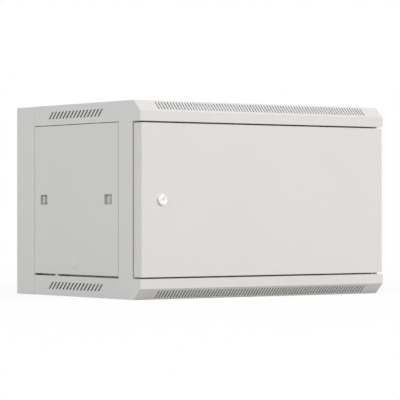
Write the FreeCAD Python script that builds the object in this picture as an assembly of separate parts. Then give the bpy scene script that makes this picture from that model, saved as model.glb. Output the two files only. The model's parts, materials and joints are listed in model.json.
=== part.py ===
import FreeCAD, Part
import math
import os

from FreeCAD import Vector

# Wall mount network cabinet, 19 inch, 6 units high, in folded sheet steel.
#
# Axes: +X to the right of someone facing the door, +Y from the door to the wall, +Z up.
# Every piece is drawn with the cabinet's front plane at y = 0 and its underside at z = 0.
# save() then moves it along Y, so that the origin lies under the middle of the whole cabinet.
# Left-hand pieces are drawn first, at negative x, and the right-hand ones are their mirror images.

# Driving dimensions, in millimetres
WIDTH = 600.0
HEIGHT = 380.0
DEPTH = 450.0
SHEET = 1.2                 # covers, posts, door and side panels
RAIL_SHEET = 1.5            # 19 inch rails and the runners that carry them
HALF = WIDTH / 2
MIDDLE_Z = HEIGHT / 2

# Top and bottom covers, with the slotted noses that frame the door
NOSE_HEIGHT = 40.0
NOSE_CHAMFER = 21.0
NOSE_DEPTH = 27.0
NOSE_RETURN = 10.0          # flange behind the door, at the back of the nose's lip
CORNER_RADIUS = 2.5
COVER_BACK = 380.6
SKIRT_HEIGHT = 39.5

# Slots in the noses and in the skirts
NOSE_SLOT_COUNT = 75
NOSE_SLOT_PITCH = 6.84
NOSE_SLOT_WIDTH = 2.4
NOSE_SLOT_START = 3.8       # from the front plane, measured along Y on the chamfer
NOSE_SLOT_END = 18.5
SIDE_SLOT_COUNT = 15
SIDE_SLOT_PITCH = 12.8
SIDE_SLOT_WIDTH = 3.6
SIDE_SLOT_HEIGHT = 14.5
SIDE_SLOT_MIDDLE_Z = 20.2   # above the underside, and as far below the roof

# Side openings and side panels
OPENING_FRONT = 75.0
OPENING_BACK = 381.0
SIDE_MIDDLE_Y = (OPENING_FRONT + OPENING_BACK) / 2
SEAT_INSET = 16.0           # depth of the step that a side panel sits in
SEAT_LIP = 14.0
PANEL_GAP = 1.2
PANEL_BOTTOM = 43.5
PANEL_TOP = 339.3
PANEL_DEPTH = 12.0
PANEL_FRONT = OPENING_FRONT + PANEL_GAP
PANEL_BACK = OPENING_BACK - PANEL_GAP
PAD_Y = 297.5
PAD_LENGTH = 9.0

# Side panel latches
LATCH_OFFSET = 117.0        # from the panel's middle, forwards and backwards
LATCH_Z = 191.5
POCKET_LENGTH = 27.0
POCKET_HEIGHT = 21.5
POCKET_WALL = 1.2
POCKET_DEPTH = 8.0
LATCH_TRAVEL = 5.0
BOLT_WIDTH = 12.0
BOLT_THICKNESS = 3.0
BOLT_PLAY = 0.4
TAB_LENGTH = 9.0
TAB_HEIGHT = 14.0
TAB_PLAY = 0.5              # between the tab and the pocket's end, with the bolt pushed out

# Blanking plug in the side panel's lock hole
BLANK_Z = 67.5
BLANK_RADIUS = 12.0
BLANK_PROUD = 1.0
BLANK_SHANK = 15.0

# Front posts
POST_FLANGE = 32.0

# Door
DOOR_INSET = 2.5            # from the cabinet's side
DOOR_GAP = 3.2              # under the top nose and over the bottom nose
DOOR_DEPTH = 24.8
DOOR_LIP = 12.0
DOOR_HALF = HALF - DOOR_INSET
DOOR_BOTTOM = NOSE_HEIGHT + DOOR_GAP
DOOR_TOP = HEIGHT - DOOR_BOTTOM
HINGE_X = 287.0
HINGE_Y = 11.0
HINGE_RETURN = 18.0         # the door's return is shallower beside the hinge
HINGE_RELIEF = 17.5         # length of the shallow stretch
PIN_RADIUS = 2.5
RUNNING_PLAY = 0.05
BUSH_RADIUS = 4.0
BUSH_LENGTH = 11.4
PIN_STROKE = 10.0
PIN_TOP = HEIGHT - NOSE_HEIGHT + PIN_STROKE - 1
COLLAR_TOP = HEIGHT - NOSE_HEIGHT - 0.3 - BUSH_LENGTH - 0.1
COLLAR_THICKNESS = 2.0
BRACKET_Z = 309.0
LEVER_Z = 304.0
LEVER_SIDE = 4.0
SPRING_WIRE = 0.9
SPRING_PLAY = 0.3           # between the pin and the spring around it
SPRING_TURNS = 5
SPRING_STEPS = 12           # straight lengths in a turn

# Cam lock
LOCK_X = -250.0
LOCK_PROUD = 5.5
LOCK_RING_RADIUS = 10.0
LOCK_BODY_RADIUS = 8.0
LOCK_BODY_BACK = 21.0
PLUG_RADIUS = 6.5
PLUG_BACK = 23.0
CAM_FRONT = 29.4
CAM_THICKNESS = 2.0
CAM_REACH = 38.0
CAM_WIDTH = 14.0
CAM_SQUARE = 7.0

# 19 inch rails: EIA-310 hole spacing over six units
UNIT = 44.45
UNITS = 6
HOLE_OFFSETS = (6.35, 22.225, 38.1)
HOLE_SPACING = 465.1
HOLE_SIDE = 9.5
RACK_OPENING = 450.85
RAIL_WEB_X = 244.5
RAIL_DEPTH = 38.0
RAIL_RETURN = 8.0
RAIL_BOTTOM = 14.0
FRONT_RAIL_Y = 68.0
BACK_RAIL_Y = 366.0
RUNNER_FRONT = 50.0
RUNNER_BACK = 400.0
RUNNER_HEIGHT = 44.0
RUNNER_FOOT = 24.0
RUNNER_SLOT_Z = 30.0
RUNNER_SLOT_HEIGHT = 6.6
RAIL_BOLT_SIDE = 6.0
RAIL_BOLT_HEAD_RADIUS = 6.0
RAIL_BOLT_HEAD = 2.5

# Back, cable entries and fan place
REAR_FLANGE = 60.0
WALL_HOLE_X = 265.0
WALL_HOLE_LOW_Z = 45.0
WALL_HOLE_HIGH_Z = 335.0
WALL_HOLE_RADIUS = 4.5
KEYHOLE_RADIUS = 8.0
KEYHOLE_RISE = 13.0
BACK_PANEL_OVERLAP = 12.0
ENTRY_LENGTH = 300.0
ENTRY_WIDTH = 45.0
ENTRY_FRONT = 318.0
BACK_ENTRY_LENGTH = 200.0
BACK_ENTRY_BOTTOM = 85.0
ENTRY_OVERLAP = 10.0
FAN_X = 0.0
FAN_Y = 190.0
FAN_RADIUS = 54.0
FAN_BAR_PITCH = 11.0
FAN_SLOT_WIDTH = 6.0
FAN_HOLE_SPACING = 105.0
FAN_HOLE_RADIUS = 2.2

# Fasteners
SCREW_RADIUS = 2.0
SCREW_HEAD_RADIUS = 4.0
SCREW_HEAD = 2.2
NUT_RADIUS = 5.0
NUT_HEIGHT = 5.0
STUD_RADIUS = 3.0
STUD_LENGTH = 18.0
EARTH_X = 210.0
EARTH_Y = 340.0

LOCK_Z = MIDDLE_Z
RACK_BOTTOM = MIDDLE_Z - UNITS * UNIT / 2
FRONT_Y = -(DEPTH - LOCK_PROUD) / 2


# Shapes that everything is made of

def corner(plane, across, up, along):
    """A point given in the two directions of a drawing plane and the third, normal to it."""
    if plane == "yz":
        return Vector(along, across, up)
    if plane == "xz":
        return Vector(across, along, up)
    return Vector(across, up, along)


def prism(plane, outline, start, end):
    """A closed outline in a plane, extruded from start to end along the plane's normal."""
    points = [corner(plane, across, up, start) for across, up in outline]
    face = Part.Face(Part.makePolygon(points + points[:1]))
    solid = face.extrude(corner(plane, 0, 0, end - start))
    if solid.Volume < 0:
        solid.reverse()
    return solid


def block(x_range, y_range, z_range):
    size = [high - low for low, high in (x_range, y_range, z_range)]
    return Part.makeBox(*size, Vector(x_range[0], y_range[0], z_range[0]))


def around(middle, size):
    return (middle - size / 2, middle + size / 2)


def rod(radius, start, end):
    """A cylinder from one point to another."""
    along = end - start
    return Part.makeCylinder(radius, along.Length, start, along)


def faceted(plane, middle, radius, start, end, sides=8):
    """A prism with flat sides that touch a circle of this radius, for small round work."""
    reach = radius / math.cos(math.pi / sides)
    turns = [math.pi * (2 * side + 1) / sides for side in range(sides)]
    outline = [(middle[0] + reach * math.cos(t), middle[1] + reach * math.sin(t)) for t in turns]
    return prism(plane, outline, start, end)


def folded(plane, path, thickness, start, end):
    """Sheet folded along an open path, with its thickness to the left of the path's direction."""
    normals = []
    for (a, b), (c, d) in zip(path, path[1:]):
        length = math.hypot(c - a, d - b)
        normals.append(((b - d) / length, (c - a) / length))
    before = [normals[0]] + normals
    after = normals + [normals[-1]]
    inner = []
    for (a, b), (p, q), (r, s) in zip(path, before, after):
        reach = thickness / (1 + p * r + q * s)
        inner.append((a + reach * (p + r), b + reach * (q + s)))
    return prism(plane, list(path) + inner[::-1], start, end)


def skinned(sections):
    """A solid with flat triangles between closed sections of points, and the first and last as its ends."""
    outlines = [sections[0], sections[-1]]
    for near, far in zip(sections, sections[1:]):
        for a, b, c, d in zip(near, near[1:] + near[:1], far[1:] + far[:1], far):
            outlines += [[a, b, c], [a, c, d]]
    shell = Part.Shell([Part.Face(Part.makePolygon(points + points[:1])) for points in outlines])
    shell.sewShape()
    solid = Part.Solid(shell)
    if solid.Volume < 0:
        solid.reverse()
    return solid


def joined(*pieces):
    whole = pieces[0]
    for piece in pieces[1:]:
        whole = whole.fuse(piece)
    return whole.removeSplitter()


def cut_all(solid, tools):
    return solid.cut(Part.makeCompound(tools)) if tools else solid


def other_side(shape):
    return shape.mirror(Vector(0, 0, 0), Vector(1, 0, 0))


def upside_down(shape):
    return shape.mirror(Vector(0, 0, MIDDLE_Z), Vector(0, 0, 1))


def front_to_back(shape):
    """Mirror image about the middle of the side opening."""
    return shape.mirror(Vector(0, SIDE_MIDDLE_Y, 0), Vector(0, 1, 0))


def rounded(solid, radius, chosen):
    """Round the edges for which chosen(edge's middle, edge) is true."""
    edges = [edge for edge in solid.Edges if chosen(edge.CenterOfMass, edge)]
    return solid.makeFillet(radius, edges)


def along_axis(edge, axis):
    start, end = edge.Vertexes[0].Point, edge.Vertexes[-1].Point
    return (end - start).normalize().getAngle(axis) % math.pi < 0.01


# Top and bottom covers

def cover_block(inset):
    """The solid form of the bottom cover, each wall moved inwards by inset, with rounded front corners."""
    slope = inset * math.tan(math.radians(22.5))
    nose_top = NOSE_HEIGHT - inset
    outline = [
        (inset, nose_top),
        (inset, NOSE_CHAMFER + slope),
        (NOSE_CHAMFER + slope, inset),
        (COVER_BACK, inset),
        (COVER_BACK, nose_top),
    ]
    solid = prism("yz", outline, inset - HALF, HALF - inset)

    def at_the_nose(middle, edge):
        return abs(abs(middle.x) - (HALF - inset)) < 0.01 and middle.y < NOSE_CHAMFER + 0.01 and edge.Length < 40

    return rounded(solid, CORNER_RADIUS - inset, at_the_nose)


def nose_slots():
    """Straight slots through the chamfer of the bottom cover, square to the front edge."""
    reach = 2 * SHEET
    slots = []
    for number in range(NOSE_SLOT_COUNT):
        x = (number - (NOSE_SLOT_COUNT - 1) / 2) * NOSE_SLOT_PITCH
        outline = [
            (NOSE_SLOT_START - reach, NOSE_CHAMFER - NOSE_SLOT_START - reach),
            (NOSE_SLOT_END - reach, NOSE_CHAMFER - NOSE_SLOT_END - reach),
            (NOSE_SLOT_END + reach, NOSE_CHAMFER - NOSE_SLOT_END + reach),
            (NOSE_SLOT_START + reach, NOSE_CHAMFER - NOSE_SLOT_START + reach),
        ]
        slots.append(prism("yz", outline, *around(x, NOSE_SLOT_WIDTH)))
    return slots


def side_slots(middle_z):
    """A row of slanted slots through both skirts: each leans forwards at its upper end."""
    half_height = SIDE_SLOT_HEIGHT / 2
    half_width = SIDE_SLOT_WIDTH / math.sqrt(2)
    low, high = middle_z - half_height, middle_z + half_height
    slots = []
    for number in range(SIDE_SLOT_COUNT):
        y = SIDE_MIDDLE_Y + (number - (SIDE_SLOT_COUNT - 1) / 2) * SIDE_SLOT_PITCH
        outline = [
            (y + half_height - half_width, low),
            (y + half_height + half_width, low),
            (y - half_height + half_width, high),
            (y - half_height - half_width, high),
        ]
        slots.append(prism("yz", outline, -HALF - 1, HALF + 1))
    return slots


def cover_shell():
    """The bottom cover as a folded tray: nose with its lip and flange, chamfer, floor and two skirts."""
    above = NOSE_HEIGHT + 1
    floor = cover_block(0).cut(cover_block(SHEET))
    back_way = block(
        (SHEET - HALF, HALF - SHEET), (COVER_BACK - 2 * SHEET, COVER_BACK + 1), (SHEET, above))
    mouth = block((SHEET - HALF, HALF - SHEET), (NOSE_DEPTH, COVER_BACK + 1), (NOSE_HEIGHT / 2, above))
    step = block((-HALF - 1, HALF + 1), (NOSE_DEPTH, COVER_BACK + 1), (SKIRT_HEIGHT, above))
    tray = cut_all(floor, [back_way, mouth, step] + nose_slots())
    flange = block(
        (POST_FLANGE - HALF, HALF - POST_FLANGE), (NOSE_DEPTH, NOSE_DEPTH + SHEET),
        (NOSE_HEIGHT - SHEET, NOSE_HEIGHT + NOSE_RETURN))
    return joined(tray, flange)


def entry_opening():
    """The cable entry through the floor of the bottom cover."""
    return block(around(0, ENTRY_LENGTH), (ENTRY_FRONT, ENTRY_FRONT + ENTRY_WIDTH), (-1, SHEET + 1))


def fan_openings():
    """Slots that fill a circle in the roof, and the four holes of a 120 mm fan."""
    openings = []
    z_range = (HEIGHT - SHEET - 1, HEIGHT + 1)
    steps = int(FAN_RADIUS // FAN_BAR_PITCH)
    for step in range(-steps, steps + 1):
        half_length = math.sqrt(FAN_RADIUS ** 2 - (step * FAN_BAR_PITCH) ** 2)
        y_range = around(FAN_Y + step * FAN_BAR_PITCH, FAN_SLOT_WIDTH)
        openings.append(block(around(FAN_X, 2 * half_length), y_range, z_range))
    for x_sign in (-1, 1):
        for y_sign in (-1, 1):
            x = FAN_X + x_sign * FAN_HOLE_SPACING / 2
            y = FAN_Y + y_sign * FAN_HOLE_SPACING / 2
            openings.append(faceted("xy", (x, y), FAN_HOLE_RADIUS, *z_range))
    return openings


def hinge_rod(z_low, z_high, radius):
    return rod(radius, Vector(HINGE_X, HINGE_Y, z_low), Vector(HINGE_X, HINGE_Y, z_high))


def hinge_prism(z_low, z_high, radius):
    return faceted("xy", (HINGE_X, HINGE_Y), radius, z_low, z_high, sides=12)


def bottom_cover():
    tools = side_slots(SIDE_SLOT_MIDDLE_Z)
    tools.append(entry_opening())
    tools.append(hinge_prism(NOSE_HEIGHT - 2 * SHEET, NOSE_HEIGHT + 1, PIN_RADIUS))
    tools += cover_screws("floor") + [earth_stud()]
    return cut_all(cover_shell(), tools)


def top_cover():
    tools = side_slots(HEIGHT - SIDE_SLOT_MIDDLE_Z)
    tools.append(upside_down(entry_opening()))
    low = HEIGHT - NOSE_HEIGHT
    tools.append(hinge_prism(low - 1, low + 2 * SHEET, PIN_RADIUS + RUNNING_PLAY))
    tools += fan_openings() + cover_screws("roof")
    return cut_all(upside_down(cover_shell()), tools)


# Frame between the covers

def bolt_slot(y_range):
    """The slot that a side latch's bolt passes through, in line with the bolt."""
    x_low = -HALF + POCKET_DEPTH
    x_range = (x_low - BOLT_PLAY, x_low + BOLT_THICKNESS + 2 * BOLT_PLAY)
    return block(x_range, y_range, around(LATCH_Z, BOLT_WIDTH + 2 * BOLT_PLAY))


def front_post():
    """Left front post: flange behind the door, outer web, and the step that the side panel sits in."""
    seat_x = SEAT_INSET - HALF
    path = [
        (POST_FLANGE - HALF, NOSE_DEPTH),
        (-HALF, NOSE_DEPTH),
        (-HALF, OPENING_FRONT),
        (seat_x, OPENING_FRONT),
        (seat_x, OPENING_FRONT + SEAT_LIP),
    ]
    post = folded("xy", path[::-1], SHEET, SKIRT_HEIGHT, HEIGHT - SKIRT_HEIGHT)
    return post.cut(bolt_slot((OPENING_FRONT - 2 * SHEET, OPENING_FRONT + 0.5)))


def rear_post():
    """Left rear post: fixed inside the rear frame, with the matching step for the side panel."""
    wall_x = SHEET - HALF
    seat_x = SEAT_INSET - HALF
    path = [
        (seat_x, OPENING_BACK - SEAT_LIP),
        (seat_x, OPENING_BACK),
        (wall_x, OPENING_BACK),
        (wall_x, OPENING_BACK + 30),
    ]
    post = folded("xy", path[::-1], SHEET, SKIRT_HEIGHT, HEIGHT - SKIRT_HEIGHT)
    return post.cut(bolt_slot((OPENING_BACK - 0.5, OPENING_BACK + 2 * SHEET)))


def lower_sill():
    """Left lower sill: fixed inside the skirt, a step under the side panel and a lip behind it."""
    wall_x = SHEET - HALF
    seat_x = SEAT_INSET - HALF
    path = [
        (wall_x, SKIRT_HEIGHT - 8),
        (wall_x, SKIRT_HEIGHT),
        (seat_x, SKIRT_HEIGHT),
        (seat_x, SKIRT_HEIGHT + SEAT_LIP),
    ]
    start = OPENING_FRONT + SEAT_LIP + 0.5
    end = OPENING_BACK - SEAT_LIP - 0.5
    return folded("xz", path[::-1], SHEET, start, end)


def rest_pad():
    """Left pad that the lower edge of the side panel rests over."""
    x_range = (-HALF, -HALF + PANEL_DEPTH)
    return block(x_range, around(PAD_Y, PAD_LENGTH), (SKIRT_HEIGHT, PANEL_BOTTOM - 0.3))


# Back

def keyhole(x, z):
    """A hanging hole: the screw head enters below and the shank slides up."""
    y_range = (DEPTH - SHEET - 1, DEPTH + 1)
    top = z + KEYHOLE_RISE
    round_end = faceted("xz", (x, z), KEYHOLE_RADIUS, *y_range, sides=24)
    neck = block(around(x, 2 * WALL_HOLE_RADIUS), y_range, (z, top))
    neck_end = faceted("xz", (x, top), WALL_HOLE_RADIUS, *y_range, sides=16)
    return joined(round_end, neck, neck_end)


def rear_frame():
    """Flanged frame against the wall, with tongues that reach under the two covers."""
    inside = HALF - SHEET
    shell = block((-HALF, HALF), (OPENING_BACK, DEPTH), (0, HEIGHT))
    hollow = block((-inside, inside), (OPENING_BACK - 1, DEPTH - SHEET), (SHEET, HEIGHT - SHEET))
    window = block(
        (REAR_FLANGE - HALF, HALF - REAR_FLANGE), (DEPTH - 2 * SHEET, DEPTH + 1),
        (REAR_FLANGE, HEIGHT - REAR_FLANGE))
    tongue = block(around(0, WIDTH * 0.7), (OPENING_BACK - 15, OPENING_BACK + 3), (SHEET, 2 * SHEET))
    frame = joined(shell.cut(hollow).cut(window), tongue, upside_down(tongue))
    tools = []
    for x in (-WALL_HOLE_X, WALL_HOLE_X):
        low = Vector(x, DEPTH - 2 * SHEET, WALL_HOLE_LOW_Z)
        tools.append(rod(WALL_HOLE_RADIUS, low, low + Vector(0, 4 * SHEET, 0)))
        tools.append(keyhole(x, WALL_HOLE_HIGH_Z - KEYHOLE_RISE))
    return cut_all(frame, tools + cover_screws("panel"))


def back_panel():
    """Closing plate inside the rear frame's window, with a cable entry near its lower edge."""
    edge = REAR_FLANGE - BACK_PANEL_OVERLAP
    y_range = (DEPTH - 2 * SHEET, DEPTH - SHEET)
    plate = block((edge - HALF, HALF - edge), y_range, (edge, HEIGHT - edge))
    y_range = (y_range[0] - 1, y_range[1] + 1)
    z_range = (BACK_ENTRY_BOTTOM, BACK_ENTRY_BOTTOM + ENTRY_WIDTH)
    tools = [block(around(0, BACK_ENTRY_LENGTH), y_range, z_range)]
    return cut_all(plate, tools + cover_screws("panel") + cover_screws("back"))


def back_entry_cover():
    y_range = (DEPTH - 3 * SHEET, DEPTH - 2 * SHEET)
    z_range = (BACK_ENTRY_BOTTOM - ENTRY_OVERLAP, BACK_ENTRY_BOTTOM + ENTRY_WIDTH + ENTRY_OVERLAP)
    plate = block(around(0, BACK_ENTRY_LENGTH + 2 * ENTRY_OVERLAP), y_range, z_range)
    return cut_all(plate, cover_screws("back"))


def bottom_entry_cover():
    y_range = (ENTRY_FRONT - ENTRY_OVERLAP, ENTRY_FRONT + ENTRY_WIDTH)
    plate = block(around(0, ENTRY_LENGTH + 2 * ENTRY_OVERLAP), y_range, (SHEET, 2 * SHEET))
    return cut_all(plate, cover_screws("floor"))


def top_entry_cover():
    y_range = (ENTRY_FRONT - ENTRY_OVERLAP, ENTRY_FRONT + ENTRY_WIDTH)
    z_range = (HEIGHT - 2 * SHEET, HEIGHT - SHEET)
    plate = block(around(0, ENTRY_LENGTH + 2 * ENTRY_OVERLAP), y_range, z_range)
    return cut_all(plate, cover_screws("roof"))


def floor_screw(x, y, seat, upwards):
    """Short screw through two sheets along Z: its head stands inside the cabinet."""
    head_end = seat - upwards * SCREW_HEAD
    shank_end = seat + upwards * 2 * SHEET
    head = faceted("xy", (x, y), SCREW_HEAD_RADIUS, *sorted((seat, head_end)), sides=6)
    return joined(head, faceted("xy", (x, y), SCREW_RADIUS, *sorted((seat, shank_end)), sides=6))


def wall_screw(x, seat, z):
    """Short screw through two sheets along Y: its head stands inside the cabinet."""
    head = faceted("xz", (x, z), SCREW_HEAD_RADIUS, seat - SCREW_HEAD, seat, sides=6)
    return joined(head, faceted("xz", (x, z), SCREW_RADIUS, seat, seat + 2 * SHEET, sides=6))


def cover_screws(group):
    """The screws of one plate: back panel, back entry cover, or floor or roof entry cover."""
    if group == "panel":
        edge = REAR_FLANGE - BACK_PANEL_OVERLAP / 2
        places = [(x, z) for x in (edge - HALF, HALF - edge) for z in (edge, HEIGHT - edge)]
        return [wall_screw(x, DEPTH - 2 * SHEET, z) for x, z in places]
    if group == "back":
        reach = (BACK_ENTRY_LENGTH + ENTRY_OVERLAP) / 2
        z = BACK_ENTRY_BOTTOM + ENTRY_WIDTH / 2
        return [wall_screw(x, DEPTH - 3 * SHEET, z) for x in (-reach, reach)]
    reach = (ENTRY_LENGTH + ENTRY_OVERLAP) / 2
    y = ENTRY_FRONT + ENTRY_WIDTH / 2
    if group == "floor":
        return [floor_screw(x, y, 2 * SHEET, -1) for x in (-reach, reach)]
    return [floor_screw(x, y, HEIGHT - 2 * SHEET, 1) for x in (-reach, reach)]


def earth_stud():
    return faceted("xy", (EARTH_X, EARTH_Y), STUD_RADIUS, 0, STUD_LENGTH)


def earth_nut():
    nut = faceted("xy", (EARTH_X, EARTH_Y), NUT_RADIUS, SHEET, SHEET + NUT_HEIGHT, sides=6)
    return nut.cut(earth_stud())


# 19 inch rails and runners

def rail_profile(face_y, back_y):
    """Left rail's fold line, from its holed face to its short return."""
    web_x = -RAIL_WEB_X
    return [
        (-RACK_OPENING / 2, face_y),
        (web_x, face_y),
        (web_x, back_y),
        (web_x + RAIL_RETURN, back_y),
    ]


def rack_rail(face_y, back_y):
    """Left rail: three square holes a unit in its face, and a bolt hole at each end of its web."""
    path = rail_profile(face_y, back_y)
    if face_y < back_y:
        path = path[::-1]
    rail = folded("xy", path, RAIL_SHEET, RAIL_BOTTOM, HEIGHT - RAIL_BOTTOM)
    face_range = around(face_y, 4 * RAIL_SHEET)
    tools = []
    for unit in range(UNITS):
        for offset in HOLE_OFFSETS:
            z = RACK_BOTTOM + unit * UNIT + offset
            tools.append(block(around(-HOLE_SPACING / 2, HOLE_SIDE), face_range, around(z, HOLE_SIDE)))
    tools += bolt_shanks((face_y + back_y) / 2)
    return cut_all(rail, tools)


def bolt_shanks(y):
    """The square shanks of one left rail's two bolts."""
    x_range = (-RAIL_WEB_X - RAIL_SHEET - NUT_HEIGHT, -RAIL_WEB_X + RAIL_SHEET)
    heights = (RUNNER_SLOT_Z, HEIGHT - RUNNER_SLOT_Z)
    return [block(x_range, around(y, RAIL_BOLT_SIDE), around(z, RAIL_BOLT_SIDE)) for z in heights]


def rail_bolts(y):
    """Left rail's bolts: low round heads inside the rail and square shanks through the runner."""
    bolts = []
    for shank in bolt_shanks(y):
        middle = shank.CenterOfMass
        seat = -RAIL_WEB_X + RAIL_SHEET
        head = faceted("yz", (middle.y, middle.z), RAIL_BOLT_HEAD_RADIUS, seat, seat + RAIL_BOLT_HEAD)
        bolts.append(joined(shank, head))
    return bolts


def rail_nuts(y):
    """Left rail's nuts, on the runner's outer face."""
    nuts = []
    for shank in bolt_shanks(y):
        middle = shank.CenterOfMass
        seat = -RAIL_WEB_X - RAIL_SHEET
        nut = faceted("yz", (middle.y, middle.z), NUT_RADIUS, seat - NUT_HEIGHT, seat, sides=6)
        nuts.append(nut.cut(shank))
    return nuts


def runner():
    """Left lower runner: an angle on the floor, with long slots that let the rails move in depth."""
    web_x = -RAIL_WEB_X
    path = [(web_x - RUNNER_FOOT, SHEET), (web_x, SHEET), (web_x, SHEET + RUNNER_HEIGHT)]
    angle = folded("xz", path, RAIL_SHEET, RUNNER_FRONT, RUNNER_BACK)
    slots = []
    for start, end in ((60, 130), (150, 210), (240, 300), (320, 390)):
        x_range = (web_x - 2 * RAIL_SHEET, web_x + 1)
        slots.append(block(x_range, (start, end), around(RUNNER_SLOT_Z, RUNNER_SLOT_HEIGHT)))
    return cut_all(angle, slots)


# Door

def door_block(inset):
    front = inset
    solid = block(
        (inset - DOOR_HALF, DOOR_HALF - inset), (front, DOOR_DEPTH), (DOOR_BOTTOM + inset, DOOR_TOP - inset))

    def front_upright(middle, edge):
        return abs(middle.y - front) < 0.01 and along_axis(edge, Vector(0, 0, 1))

    return rounded(solid, CORNER_RADIUS - inset, front_upright)


def door_shell():
    """Door leaf: face, four returns and back lips, with shallower returns beside the hinge."""
    leaf = door_block(0).cut(door_block(SHEET))
    outer = block(
        (SHEET - DOOR_HALF, DOOR_HALF - SHEET), (DOOR_DEPTH - SHEET, DOOR_DEPTH),
        (DOOR_BOTTOM + SHEET, DOOR_TOP - SHEET))
    window = block(
        (DOOR_LIP - DOOR_HALF, DOOR_HALF), (DOOR_DEPTH - 2 * SHEET, DOOR_DEPTH + 1),
        (DOOR_BOTTOM + DOOR_LIP, DOOR_TOP - DOOR_LIP))
    relief = block(
        (DOOR_HALF - HINGE_RELIEF, DOOR_HALF + 1), (HINGE_RETURN, DOOR_DEPTH + 1), (0, HEIGHT))
    leaf = joined(leaf, outer.cut(window)).cut(relief)
    bush_holes = [
        hinge_prism(DOOR_BOTTOM - 1, DOOR_BOTTOM + 2 * SHEET, BUSH_RADIUS),
        hinge_prism(DOOR_TOP - 2 * SHEET, DOOR_TOP + 1, BUSH_RADIUS),
    ]
    return cut_all(leaf, [lock_body(-1, 2 * SHEET)] + bush_holes)


def door_stiffener():
    """Hat section along the middle of the leaf."""
    path = [(-32, SHEET), (-18, SHEET), (-18, 13), (18, 13), (18, SHEET), (32, SHEET)]
    return folded("xy", path, SHEET, DOOR_BOTTOM + 15, DOOR_TOP - 15)


def bumper(z):
    """Rubber stop on the left post, just clear of the closed door."""
    return faceted("xz", (POST_FLANGE / 2 - HALF + 3, z), 4.0, DOOR_DEPTH + 0.4, NOSE_DEPTH)


def hinge_bush(z_low, z_high):
    return hinge_prism(z_low, z_high, BUSH_RADIUS).cut(hinge_prism(z_low - 1, z_high + 1, PIN_RADIUS + RUNNING_PLAY))


def bottom_bush():
    return hinge_bush(NOSE_HEIGHT + 0.3, NOSE_HEIGHT + 0.3 + BUSH_LENGTH)


def bottom_hinge_pin():
    """Pin riveted in the lower nose, with its head under the lip."""
    lip = NOSE_HEIGHT - SHEET
    head = hinge_prism(lip - 2.5, lip, 2 * PIN_RADIUS)
    return joined(head, hinge_rod(lip - 2, NOSE_HEIGHT + BUSH_LENGTH - 1, PIN_RADIUS))


def top_hinge_pin():
    """Sliding pin of the upper hinge: shank, the collar that stops it under its bush, and a finger lever."""
    shank = hinge_rod(LEVER_Z - LEVER_SIDE / 2, PIN_TOP, PIN_RADIUS)
    collar = hinge_prism(COLLAR_TOP - COLLAR_THICKNESS, COLLAR_TOP, PIN_RADIUS + 2)
    lever = block((HINGE_X - 26, HINGE_X), around(HINGE_Y, LEVER_SIDE), around(LEVER_Z, LEVER_SIDE))
    return joined(shank, collar, lever)


def hinge_pin_bracket():
    """Angle on the inside of the leaf: it guides the sliding pin and carries its spring."""
    path = [(SHEET, BRACKET_Z + 14), (SHEET, BRACKET_Z), (HINGE_RETURN - 1, BRACKET_Z)]
    angle = folded("yz", path, SHEET, HINGE_X - 8, HINGE_X + 5.5)
    return angle.cut(hinge_prism(BRACKET_Z - 2, BRACKET_Z + 2 * SHEET, PIN_RADIUS + RUNNING_PLAY))


def hinge_spring():
    """Compression spring of square wire, from the bracket up to the pin's collar."""
    low = BRACKET_Z + SHEET
    high = COLLAR_TOP - COLLAR_THICKNESS - SPRING_WIRE
    inner = PIN_RADIUS + SPRING_PLAY
    outer = inner + SPRING_WIRE
    steps = SPRING_TURNS * SPRING_STEPS
    sections = []
    for step in range(steps + 1):
        turn = 2 * math.pi * step / SPRING_STEPS
        z = low + (high - low) * step / steps
        profile = [(inner, z), (outer, z), (outer, z + SPRING_WIRE), (inner, z + SPRING_WIRE)]
        points = [
            Vector(HINGE_X + radius * math.cos(turn), HINGE_Y + radius * math.sin(turn), height)
            for radius, height in profile
        ]
        sections.append(points)
    return skinned(sections)


# Cam lock, on an axis along Y

def lock_rod(radius, y_low, y_high):
    return rod(radius, Vector(LOCK_X, y_low, LOCK_Z), Vector(LOCK_X, y_high, LOCK_Z))


def lock_body(y_low, y_high):
    """The barrel's clamped length, with flats as on a double-D barrel."""
    return faceted("xz", (LOCK_X, LOCK_Z), LOCK_BODY_RADIUS, y_low, y_high, sides=16)


def lock_barrel():
    """Barrel with its ring in front of the leaf, bored for the plug."""
    ring = faceted("xz", (LOCK_X, LOCK_Z), LOCK_RING_RADIUS, -LOCK_PROUD, 0, sides=32)
    body = lock_body(0, LOCK_BODY_BACK)
    return joined(ring, body).cut(lock_rod(PLUG_RADIUS + RUNNING_PLAY, -LOCK_PROUD - 1, LOCK_BODY_BACK + 1))


def lock_plug():
    """Turning plug: a core with its keyway in front and a square end for the cam."""
    core = lock_rod(PLUG_RADIUS, -LOCK_PROUD + 0.3, PLUG_BACK)
    square = block(
        around(LOCK_X, CAM_SQUARE), (PLUG_BACK, CAM_FRONT + CAM_THICKNESS), around(LOCK_Z, CAM_SQUARE))
    keyway = block(around(LOCK_X, 1.8), (-LOCK_PROUD - 1, 6), around(LOCK_Z, 8.0))
    return joined(core, square).cut(keyway)


def lock_cam():
    """Cam plate, hanging down while the lock is open."""
    y_range = (CAM_FRONT, CAM_FRONT + CAM_THICKNESS)
    half = CAM_WIDTH / 2
    tip = LOCK_Z - CAM_REACH
    outline = [
        (LOCK_X - half, LOCK_Z), (LOCK_X - half + 1, tip + 4), (LOCK_X - half + 5, tip),
        (LOCK_X + half - 5, tip), (LOCK_X + half - 1, tip + 4), (LOCK_X + half, LOCK_Z),
    ]
    hub = faceted("xz", (LOCK_X, LOCK_Z), half, *y_range, sides=16)
    plate = joined(hub, prism("xz", outline, *y_range))
    square = block(
        around(LOCK_X, CAM_SQUARE), (y_range[0] - 1, y_range[1] + 1), around(LOCK_Z, CAM_SQUARE))
    return plate.cut(square)


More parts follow.
